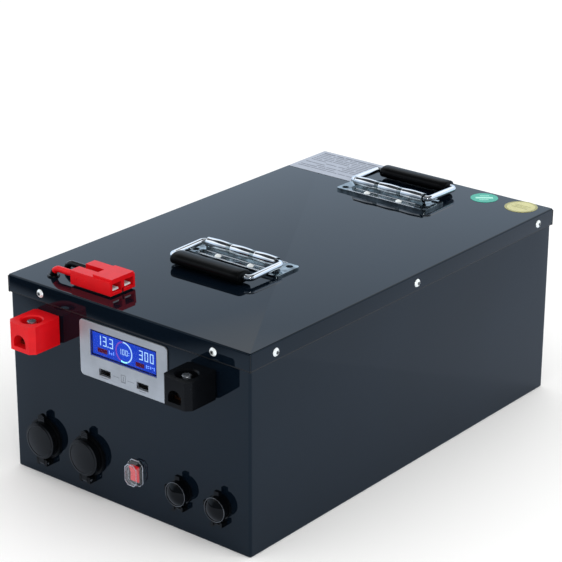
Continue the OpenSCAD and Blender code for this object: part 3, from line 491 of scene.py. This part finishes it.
def build_beads(name, pivot, mid):
    """Pressed beads that stiffen a handle plate, two on each side of its barrel."""
    lo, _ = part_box(name + "plate")
    top = min(v.co.z for v in NODES[name + "plate"].data.vertices if v.co.z > lo.z + 1 * MM)
    bead_r, sunk = 0.7 * MM, 0.2 * MM
    inner, outer = (6.6 * MM, 36 * MM), (15.5 * MM, 40 * MM)
    beads = []
    for side, (off, half) in ((-1, outer), (-1, inner), (1, inner), (1, outer)):
        path = [(mid + x, pivot.y + side * off, top - sunk) for x in (-half, half)]
        beads.append(sweep(path, bead_r, 16))
    verts, faces = merge(beads)
    on_body(new_object(name + "beads", verts, faces, CHROME, sharp=60), name + "plate", hides=False)


def build_handle(end):
    """One folding handle: grip, bail and plate, with the plate's barrel and beads."""
    name = end + "_handle_"
    pivot = Vector(JOINTS[end + "_handle_swing"]["pos_m"])
    mid = middle(name + "grip").x
    build_grip(name + "grip", pivot)
    finish_node(name + "bail", CHROME, bevel=0.0, sharp=40)
    finish_node(name + "plate", TEAL, bevel=0.00035, sharp=30, limit=50)
    build_barrel(name, pivot, mid)
    build_beads(name, pivot, mid)


# ------------------------------------------------------ screws and rivets

def build_screws():
    """Lid screws, with a dark hexagon of painted shade in each head so that its key recess reads from afar."""
    finish_node("lid_screws", RIVET, bevel=0.00018, sharp=30, limit=35)
    key_r, key_low, key_top = 2.0 * MM, 1.2 * MM, 1.9 * MM
    # Dark hexagon prism in each head: painted shade of the key recess
    key = lathe([(TIP, key_low), (key_r, key_low), (key_r, key_top), (TIP, key_top + 2 * TIP)], 6)
    upright = Matrix.Rotation(math.radians(90), 4, "X")
    lo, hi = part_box("lid")
    spots = []
    for place, turn in screw_places(lo, hi, middle("lid_screws").z):
        spots.append(moved(key, Matrix.Translation(place) @ Matrix.Rotation(turn, 4, "Z") @ upright))
    verts, faces = merge(spots)
    on_body(new_object("screw_socket_shade", verts, faces, DARK), "lid_screws", hides=False)
    finish_node("handle_rivets", RIVET, bevel=0.0002)


def screw_places(lo, hi, z):
    """Centre and turn of each lid screw's head, found from the CAD screws on each side of the lid."""
    near, apart, corner = 0.4 * MM, 4 * MM, 3 * MM
    sides = ((1, lo.y, 0), (1, hi.y, math.pi), (0, hi.x, math.pi / 2), (0, lo.x, -math.pi / 2))
    points = [v.co for v in NODES["lid_screws"].data.vertices]
    out = []
    for axis, side, turn in sides:
        along = 1 - axis
        heads = []
        for v in sorted(p[along] for p in points if abs(p[axis] - side) < near):
            if heads and v - heads[-1][-1] < apart:
                heads[-1].append(v)
            elif abs(v) < (hi - lo)[along] / 2 - corner:
                heads.append([v])
        for head in heads:
            c = (min(head) + max(head)) / 2
            out.append((Vector((c, side, z)) if axis == 1 else Vector((side, c, z)), turn))
    return out


# ---------------------------------------------------------------- display

SEGMENTS = {"0": "abcdef", "1": "bc", "3": "abcdg"}


def digit(kind, x, z, w, h, stroke):
    """Seven-segment numeral as flat blocks in the XZ plane, lower left corner at x, z."""
    m = h / 2
    spans = {"a": (0, h - stroke, w, stroke), "b": (w - stroke, m, stroke, m),
             "c": (w - stroke, 0, stroke, m), "d": (0, 0, w, stroke), "e": (0, 0, stroke, m),
             "f": (0, m, stroke, m), "g": (0, m - stroke / 2, w, stroke)}
    gap = stroke * 0.1
    out = []
    for s in SEGMENTS[kind]:
        sx, sz, sw, sh = spans[s]
        out.append((x + sx + gap, z + sz + gap, sw - 2 * gap, sh - 2 * gap))
    return out


def plates(rects, y, thick=0.06):
    """Thin blocks at y for rectangles given as x, z, width, height in millimetres."""
    out = []
    for x, z, w, h in rects:
        v, f = bar(((x + w / 2) * MM, 0, (z + h / 2) * MM), (w * MM, thick * MM, h * MM))
        out.append(([(a, y + b, c) for a, b, c in v], f))
    return merge(out)


def arc_plate(r0, r1, a0, a1, y, steps=30, thick=0.06):
    """A thin arc at y from angle a0 to a1 in degrees, between two radii in millimetres."""
    v, f = [], []
    for i in range(steps + 1):
        a = math.radians(a0 + (a1 - a0) * i / steps)
        for r in (r0, r1):
            for dy in (-thick / 2, thick / 2):
                v.append((r * MM * math.cos(a), y + dy * MM, r * MM * math.sin(a)))
    for i in range(steps):
        n, m = 4 * i, 4 * i + 4
        f += [(n, n + 2, m + 2, m), (n + 1, m + 1, m + 3, n + 3), (n, m, m + 1, n + 1),
              (n + 2, n + 3, m + 3, m + 2)]
    f += [(0, 1, 3, 2), (4 * steps, 4 * steps + 2, 4 * steps + 3, 4 * steps + 1)]
    return v, f


def build_display():
    """Faceplate, window and USB outlets, with what the display shows and what is printed below it.

    Rectangles are x, z, width, height in millimetres from the middle of the window.
    """
    finish_node("display_faceplate", BRUSHED, bevel=0.0004, segments=3)
    finish_node("display_window", GLASS, bevel=0.0002)
    finish_node("display_screen", LCD, bevel=0.0001)
    finish_node("usb_ports", ZINC, bevel=0.00005)
    finish_node("usb_tongues", MATTE, bevel=0.0002)
    lo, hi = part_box("display_window")
    w, h = (hi.x - lo.x) / MM, (hi.z - lo.z) / MM
    mid = (lo + hi) / 2
    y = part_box("display_screen")[0].y - 0.05 * MM
    shift = Matrix.Translation((mid.x, 0, mid.z))

    def add(name, part, mat):
        verts, faces = moved(part, shift)
        on_body(new_object(name, verts, faces, mat), "display_screen", hides=False)

    rim = 1.7
    border = [(-w / 2, -h / 2, w, rim), (-w / 2, h / 2 - rim, w, rim), (-w / 2, -h / 2, rim, h),
              (w / 2 - rim, -h / 2, rim, h)]
    add("display_border", plates(border, y), LCD_DARK)
    # Numerals: the reading on the left with its point, the one on the right, and the gauge's own
    bold, fine, point = 1.15, 0.65, (-19.2, -0.8, 1.1, 1.2)
    lit = digit("1", -31.0, -0.8, 4.2, 9.2, bold)
    for x in (-24.6, -17.0):
        lit += digit("3", x, -0.8, 4.4, 9.2, bold)
    lit.append(point)
    for kind, x in (("3", 17.6), ("0", 23.8), ("0", 30.0)):
        lit += digit(kind, x, -1.6, 4.4, 9.0, bold)
    lit += digit("1", -5.6, -2.6, 2.4, 5.2, fine)
    for x in (-2.0, 1.7):
        lit += digit("0", x, -2.6, 2.7, 5.2, fine)
    add("display_digits", plates(lit, y), LCD_LIT)
    add("display_red_marks", plates([(-31, -7.6, 11.5, 4.2), (13.4, -8.6, 10, 4.0)], y), LCD_RED)
    # Short bars where the units stand, left, right and beside the gauge's number
    dim = [(-17.6, -6.4, 0.6, 3.4), (-15.8, -5.6, 2.2, 0.7), (-14.9, -6.4, 0.6, 1.6),
           (-12.4, -6.4, 0.6, 3.4)]
    dim += [(25.6, -7.6, 0.6, 3.2), (27.2, -7.0, 2.0, 0.6), (27.2, -5.4, 2.0, 0.6),
            (30.4, -7.0, 0.7, 2.4), (32.0, -5.6, 1.8, 0.6), (34.6, -7.6, 0.6, 3.2)]
    dim += [(5.2, -1.6, 1.2, 0.6), (5.2, 0.6, 1.2, 0.6)]
    add("display_units", plates(dim, y), LCD_DIM)
    # Ring gauge in three stretches, as angles in degrees from the right
    inner, outer = 8.6, 9.8
    for name, start, stop, mat in (("gauge_track", 100, 245, LCD_PLUM), ("gauge_fill", -62, 96, LCD_LIT),
                                   ("gauge_end", -112, -66, LCD_MINT)):
        add(name, arc_plate(inner, outer, start, stop, y), mat)
    # Printed pictogram and lines between the two ports, and a bar below each port
    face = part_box("display_faceplate")[0].y - 0.02 * MM
    marks = [(-2.6, -28.0, 0.3, 7.2), (2.3, -28.0, 0.3, 7.2), (-2.6, -28.0, 5.2, 0.3),
             (-2.6, -21.1, 5.2, 0.3), (-1.6, -27.2, 3.2, 0.25), (-12.5, -24.8, 8.0, 0.25),
             (4.6, -24.8, 8.0, 0.25), (-0.2, -26.4, 0.4, 4.0), (-26.0, -30.2, 8.0, 0.4),
             (18.0, -30.2, 8.0, 0.4)]
    add("port_marks", plates(marks, face), PRINT)


# ---------------------------------------------------------- front fittings

def build_terminals():
    """Terminal blocks, bars and studs, with thread crests on the free end of each stud."""
    finish_node("positive_terminal_block", RED, bevel=0.0012, segments=4)
    finish_node("negative_terminal_block", BLOCK, bevel=0.0012, segments=4)
    finish_node("terminal_busbars", COPPER, bevel=0.0003)
    finish_node("terminal_studs", ZINC, bevel=0.0004)
    finish_node("terminal_washers", ZINC, bevel=0.0002)
    finish_node("terminal_nuts", ZINC, bevel=0.0004)
    lo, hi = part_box("terminal_studs")
    nut_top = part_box("terminal_nuts")[1].z
    head_r = (hi.y - lo.y) / 2
    root_r, crest_r, flank, flat = 3.9 * MM, 4.2 * MM, 0.5 * MM, 0.05 * MM
    pitch, margin = 1.25 * MM, 0.7 * MM
    rings = []
    for x in (lo.x + head_r, hi.x - head_r):
        z = nut_top + margin
        while z < hi.z - margin:
            crest = [(root_r, z - flank), (crest_r, z - flat), (crest_r, z + flat), (root_r, z + flank)]
            ring = lathe(crest, 32)
            rings.append(moved(ring, Matrix.Translation((x, (lo.y + hi.y) / 2, 0))))
            z += pitch
    verts, faces = merge(rings)
    on_body(new_object("stud_threads", verts, faces, ZINC), "terminal_studs", hides=False)


def trim_socket_cap(side):
    """Finger ribs across a socket cap's thumb tab, and a raised rim round its face."""
    node = side + "_socket_cap"
    lo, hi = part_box(node)
    cx = (lo.x + hi.x) / 2
    pivot = Vector(JOINTS[side + "_socket_cap_swing"]["pos_m"])
    rib, first, step = (7.6 * MM, 0.5 * MM, 0.7 * MM), 1.5 * MM, 1.7 * MM
    ribs = [bar((cx, lo.y + 4.65 * MM, hi.z - first - step * i), rib) for i in range(3)]
    center = Vector((cx, lo.y + 1.55 * MM, pivot.z + 21.5 * MM))
    verts, faces = merge([torus(center, 14.6 * MM, 0.45 * MM)] + ribs)
    on_body(new_object(side + "_cap_rim", verts, faces, GLOSS), node, hides=False)


def trim_dc_cap(side):
    """Polished rim round the crown of a small outlet's rubber cap."""
    node = side + "_dc_cap"
    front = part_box(node)[0].y
    lo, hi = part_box(side + "_dc_socket")
    flange_r = (hi.x - lo.x) / 2
    center = Vector(((lo.x + hi.x) / 2, front + 4.1 * MM, hi.z - flange_r))
    verts, faces = torus(center, flange_r - 0.95 * MM, 0.4 * MM)
    on_body(new_object(side + "_dc_rims", verts, faces, RIM), node, hides=False)


def build_outlets():
    """Accessory sockets and small round outlets, each with its cap."""
    for side in ("left", "right"):
        finish_node(side + "_socket_body", MATTE, bevel=0.0005, segments=3)
        finish_node(side + "_socket_cap", GLOSS, bevel=0.0007, segments=3)
        finish_node(side + "_dc_socket", GLOSS, bevel=0.0004, segments=2)
        finish_node(side + "_dc_cap", CAP, bevel=0.0009, segments=3)
        trim_socket_cap(side)
        trim_dc_cap(side)
    finish_node("socket_sleeves", ZINC, bevel=0.0001)
    finish_node("socket_contacts", GOLD, bevel=0.0002)
    finish_node("cap_hinge_pins", ZINC, bevel=0.0002)
    finish_node("dc_socket_pins", GOLD, bevel=0.0002)


def build_switch():
    """Rocker under its clear boot, with a clamping ring at the panel and a pale line round the front, a painted
    highlight on the boot's front edge.
    """
    finish_node("switch_body", MATTE, bevel=0.0004)
    finish_node("switch_rocker", ROCKER, bevel=0.0006, segments=3)
    finish_node("switch_boot", BOOT, bevel=0.0003, segments=2, sharp=20, limit=20)
    lo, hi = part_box("switch_boot")
    mid = (lo + hi) / 2
    front = [v.co for v in NODES["switch_boot"].data.vertices if v.co.y < lo.y + 0.3 * MM]
    face_w = max(v.x for v in front) - min(v.x for v in front)
    face_h = max(v.z for v in front) - min(v.z for v in front)
    w, h, c = 17.6 * MM, 24.8 * MM, 4.2 * MM
    octagon = [(-w / 2 + c, -h / 2), (w / 2 - c, -h / 2), (w / 2, -h / 2 + c), (w / 2, h / 2 - c),
               (w / 2 - c, h / 2), (-w / 2 + c, h / 2), (-w / 2, h / 2 - c), (-w / 2, -h / 2 + c)]

    def band(section, wide, high):
        """A band round the boot, with its section as places along Y and scales of the octagon."""
        rings = [[(mid.x + x * k * wide / w, y, mid.z + z * k * high / h) for x, z in octagon]
                 for y, k in section]
        return join_rings(rings, close=False)

    clamp = [(hi.y, 0.93), (hi.y - 0.1 * MM, 1.0), (hi.y - 0.9 * MM, 1.0), (hi.y - 1.2 * MM, 0.98),
             (hi.y - 1.2 * MM, 0.94), (hi.y, 0.93)]
    # Pale band round the boot's front face: painted highlight on its edge
    near, far = lo.y + 0.05 * MM, lo.y + 0.4 * MM
    line = [(far, 0.92), (near, 0.92), (near, 1.0), (far, 1.0), (far, 0.92)]
    verts, faces = merge([band(clamp, w, h), band(line, face_w, face_h)])
    o = new_object("boot_clamp_and_painted_edge_highlight", verts, faces, ZINC, sharp=25, bevel=0.0002)
    on_body(o, "switch_boot", hides=False)


# -------------------------------------------------------------- connector

def build_housing_details():
    """Small moulded studs along the near side of the housing, and a collar where each lead enters."""
    lo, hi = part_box("connector_housing")
    stud = lathe([(0.9 * MM, -0.2 * MM), (0.8 * MM, 0.25 * MM), (0.35 * MM, 0.42 * MM),
                  (TIP, 0.45 * MM)], 20)
    sideways = Matrix.Rotation(math.radians(90), 4, "X")
    first, step, rise = 7 * MM, 5.5 * MM, 6.4 * MM
    parts = []
    for i in range(3):
        at = (lo.x + first + step * i, lo.y, lo.z + rise)
        parts.append(moved(stud, Matrix.Translation(at) @ sideways))
    collar = lathe([(3.0 * MM, 0), (3.75 * MM, 0.1 * MM), (3.75 * MM, 1.5 * MM), (3.4 * MM, 1.9 * MM),
                    (2.9 * MM, 1.9 * MM)], 32)
    backwards = Matrix.Rotation(math.radians(-90), 4, "Y")
    pole_y = 8.5 * MM
    lead_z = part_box("connector_red_lead")[1].z - 2.8 * MM
    for side in (-1, 1):
        at = (lo.x + 0.05 * MM, (lo.y + hi.y) / 2 + side * pole_y, lead_z)
        parts.append(moved(collar, Matrix.Translation(at) @ backwards))
    verts, faces = merge(parts)
    on_body(new_object("connector_details", verts, faces, RED), "connector_housing", hides=False)


def build_sleeve(node):
    """Shrink sleeve over the end of a lead, where it bends down into the lid."""
    lo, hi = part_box(node)
    y = (lo.y + hi.y) / 2
    lead_r, bend_r, sleeve_r = (hi.y - lo.y) / 2, 8 * MM, 3.15 * MM
    cx, cz = lo.x + lead_r + bend_r, hi.z - lead_r - bend_r
    path = [(cx - bend_r, y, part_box("lid")[1].z + 0.2 * MM)]
    for turn in range(180, 137, -4):
        a = math.radians(turn)
        path.append((cx + bend_r * math.cos(a), y, cz + bend_r * math.sin(a)))
    verts, faces = sweep(path, sleeve_r, 28)
    on_body(new_object(node + "_sleeve", verts, faces, RUBBER, sharp=50, bevel=0.0002), node, hides=False)


def build_connector():
    """Two-pole connector on the lid with its two leads."""
    finish_node("connector_housing", RED, bevel=0.0006, segments=3)
    finish_node("connector_contacts", RIVET, bevel=0.0003)
    finish_node("connector_red_lead", RED, bevel=0.0)
    finish_node("connector_black_lead", RUBBER, bevel=0.0)
    finish_node("lead_grommets", RUBBER, bevel=0.0002)
    build_housing_details()
    build_sleeve("connector_red_lead")
    build_sleeve("connector_black_lead")


# --------------------------------------------------------------- stickers

INK_H, INK_Z = 0.05 * MM, 0.02 * MM      # thickness of printed marks, and their middle above a sticker


def print_label():
    """Rows of broken lines that stand for the label's small print, under a heavier first row."""
    rng = random.Random(7)
    lo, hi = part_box("info_label")
    top, pitch, margin, last = 6 * MM, 4.4 * MM, 5 * MM, 12 * MM
    rows = []
    for i in range(11):
        y = hi.y - top - pitch * i
        line_h = 1.4 * MM if i else 2.4 * MM
        x = lo.x + margin
        while x < hi.x - last:
            w = min(rng.uniform(8, 26) * MM, hi.x - margin - x)
            if rng.random() < 0.86:
                rows.append(bar((x + w / 2, y, hi.z + INK_Z), (w, line_h, INK_H)))
            x += w + rng.uniform(1.2, 3.0) * MM
    verts, faces = merge(rows)
    on_body(new_object("label_lines", verts, faces, INK), "info_label", hides=False)


def print_green_sticker():
    """A slanted bar between two thinner ones."""
    c = middle("green_sticker")
    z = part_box("green_sticker")[1].z + INK_Z
    slant = math.radians(38)
    long_bar, short_bar = (17 * MM, 4.4 * MM, INK_H), (9 * MM, 1.4 * MM, INK_H)
    dx, dy = 3 * MM, 5 * MM
    verts, faces = merge([bar((c.x, c.y, z), long_bar, slant),
                          bar((c.x - dx, c.y + dy, z), short_bar, slant),
                          bar((c.x + dx, c.y - dy, z), short_bar, slant)])
    on_body(new_object("green_mark", verts, faces, MINT), "green_sticker", hides=False)


def print_gold_sticker():
    """A rim and three bars."""
    lo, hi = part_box("gold_sticker")
    c = (lo + hi) / 2
    r0, r1 = 0.86 * (hi.x - lo.x) / 2, 0.985 * (hi.x - lo.x) / 2
    verts, faces = lathe([(r0, 0), (r1, 0), (r1, INK_H), (r0, INK_H), (r0, 0)], 64)
    parts = [(verts, [f for f in faces if len(f) == 4])]
    first, pitch = 3.4 * MM, 3.2 * MM
    for i, w in enumerate((17 * MM, 14 * MM, 17 * MM)):
        parts.append(bar((0, first - pitch * i, INK_Z), (w, 1.2 * MM, INK_H)))
    verts, faces = moved(merge(parts), Matrix.Translation((c.x, c.y, hi.z)))
    on_body(new_object("gold_rim", verts, faces, OLIVE), "gold_sticker", hides=False)


def build_stickers():
    """The label and the two round stickers on the lid, each with its print."""
    finish_node("info_label", LABEL, bevel=0.00005)
    finish_node("green_sticker", GREEN, bevel=0.00005)
    finish_node("gold_sticker", YELLOW, bevel=0.00005)
    print_label()
    print_green_sticker()
    print_gold_sticker()


# --------------------------------------------------- pieces inside the case

def finish_inside():
    """Finishes for the pieces that the closed case hides."""
    inner = {"lid_seal": FOAM, "lid_weld_nuts": ZINC, "terminal_block_screws": ZINC,
             "display_board": BOARD, "display_housing": MATTE, "panel_nuts": MATTE, "cell_1": FILM,
             "cell_2": FILM, "cell_3": FILM, "cell_4": FILM, "cell_busbars": COPPER, "cell_nuts": ZINC,
             "pack_frame": ZINC, "foam_pads": FOAM, "bms_module": ZINC, "power_cables": RUBBER}
    unrounded = ("power_cables", "panel_nuts")
    for node, mat in inner.items():
        finish_node(node, mat, bevel=0.0 if node in unrounded else 0.0004)


# ------------------------------------------------------------ stage, light

def shade_floor():
    """Paints a reflection into the floor: glossy faces see it a little bluer, and dark beyond the front left,
    while all other rays see it evenly pale.
    """
    t = STAGE.node_tree
    shader = t.nodes["Principled BSDF"]
    place = t.nodes.new("ShaderNodeTexCoord")
    split = t.nodes.new("ShaderNodeSeparateXYZ")
    link(t, place, "Object", split, "Vector")
    shade = []
    # Where the painted dark reflection begins and is full, in metres
    for axis, near, far in (("X", -0.11, -0.24), ("Y", -0.47, -0.55)):
        reach = t.nodes.new("ShaderNodeMapRange")
        reach.interpolation_type = "SMOOTHSTEP"
        reach.inputs["From Min"].default_value = near
        reach.inputs["From Max"].default_value = far
        link(t, split, axis, reach, "Value")
        shade.append(reach)
    both = t.nodes.new("ShaderNodeMath")
    both.operation = "MULTIPLY"
    link(t, shade[0], "Result", both, 0)
    link(t, shade[1], "Result", both, 1)
    # Colour that glossy rays see: a painted reflection, bluer near and dark far
    seen = t.nodes.new("ShaderNodeValToRGB")
    seen.color_ramp.elements[0].color = (0.71, 0.80, 0.95, 1)
    seen.color_ramp.elements[1].color = (0.02, 0.02, 0.025, 1)
    link(t, both, "Value", seen, "Fac")
    # Only glossy rays get the painted reflection; the camera and other rays see the plain pale floor
    path = t.nodes.new("ShaderNodeLightPath")
    mix = t.nodes.new("ShaderNodeMixRGB")
    mix.inputs["Color1"].default_value = (0.955, 0.96, 0.965, 1)
    link(t, path, "Is Glossy Ray", mix, "Fac")
    link(t, seen, "Color", mix, "Color2")
    link(t, mix, "Color", shader, "Base Color")


def build_stage():
    """A flat floor 18 m square."""
    shade_floor()
    half = 9
    verts = [(-half, -half, 0), (half, -half, 0), (half, half, 0), (-half, half, 0)]
    new_object("floor", verts, [(0, 1, 2, 3)], STAGE)


def panel(name, at, aim, side, power, color):
    """A square area light that faces a point."""
    data = bpy.data.lights.new(name, "AREA")
    data.shape = "RECTANGLE"
    data.size = side
    data.size_y = side
    data.energy = power
    data.color = color
    o = bpy.data.objects.new(name, data)
    scene.collection.objects.link(o)
    o.location = at
    o.rotation_euler = (Vector(aim) - Vector(at)).to_track_quat("-Z", "Y").to_euler()
    return o


def light_stage():
    """A studio that glossy faces see in full and all else sees as an even pale room, and two lamps."""
    world = bpy.data.worlds.new("studio")
    world.use_nodes = True
    scene.world = world
    t = world.node_tree
    plain = t.nodes["Background"]
    place = t.nodes.new("ShaderNodeTexCoord")
    split = t.nodes.new("ShaderNodeSeparateXYZ")
    ramp = t.nodes.new("ShaderNodeValToRGB")
    link(t, place, "Generated", split, "Vector")
    link(t, split, "Z", ramp, "Fac")
    # The walls by the sine of their height above level: blue low down, a bright band, then a dark one
    stops = ramp.color_ramp.elements
    stops[0].color = (0.66, 0.81, 0.98, 1)
    stops[1].color = (0.46, 0.48, 0.50, 1)
    for height, tone in ((0.44, (0.60, 0.72, 0.87, 1)), (0.5, (1.0, 1.05, 1.1, 1)),
                         (0.68, (0.9, 0.95, 1.0, 1)), (0.72, (0.03, 0.035, 0.04, 1)),
                         (0.88, (0.03, 0.035, 0.04, 1))):
        stop = stops.new(height)
        stop.color = tone
    # The studio is darker in front of the object than behind it
    ahead = t.nodes.new("ShaderNodeVectorMath")
    ahead.operation = "DOT_PRODUCT"
    ahead.inputs[1].default_value = (0.55, -0.80, -0.1)
    link(t, place, "Generated", ahead, 0)
    shade = t.nodes.new("ShaderNodeMapRange")
    shade.inputs["From Min"].default_value = 0.12
    shade.inputs["From Max"].default_value = 0.42
    shade.inputs["To Min"].default_value = 1.22
    shade.inputs["To Max"].default_value = 0.28
    link(t, ahead, "Value", shade, "Value")
    studio = t.nodes.new("ShaderNodeBackground")
    link(t, ramp, "Color", studio, "Color")
    link(t, shade, "Result", studio, "Strength")
    # Gloss sees the studio's walls, and everything else an even pale room
    plain.inputs["Color"].default_value = (1.0, 0.995, 0.985, 1)
    plain.inputs["Strength"].default_value = 1.1
    path = t.nodes.new("ShaderNodeLightPath")
    mix = t.nodes.new("ShaderNodeMixShader")
    link(t, path, "Is Glossy Ray", mix, "Fac")
    t.links.new(plain.outputs["Background"], mix.inputs[1])
    t.links.new(studio.outputs["Background"], mix.inputs[2])
    t.links.new(mix.outputs["Shader"], t.nodes["World Output"].inputs["Surface"])
    key = panel("key", (2.2, 0.4, 2.4), (0, 0, 0.1), 1.6, 15, (1.0, 0.99, 0.96))
    key.visible_glossy = False
    panel("spark", (2.3, -2.0, 1.1), (0, -0.2, 0.1), 0.22, 7, (1.0, 1.0, 1.0))


build_case()
build_lid()
build_handle("front")
build_handle("rear")
build_screws()
build_display()
build_terminals()
build_outlets()
build_switch()
build_connector()
build_stickers()
finish_inside()
build_stage()
light_stage()
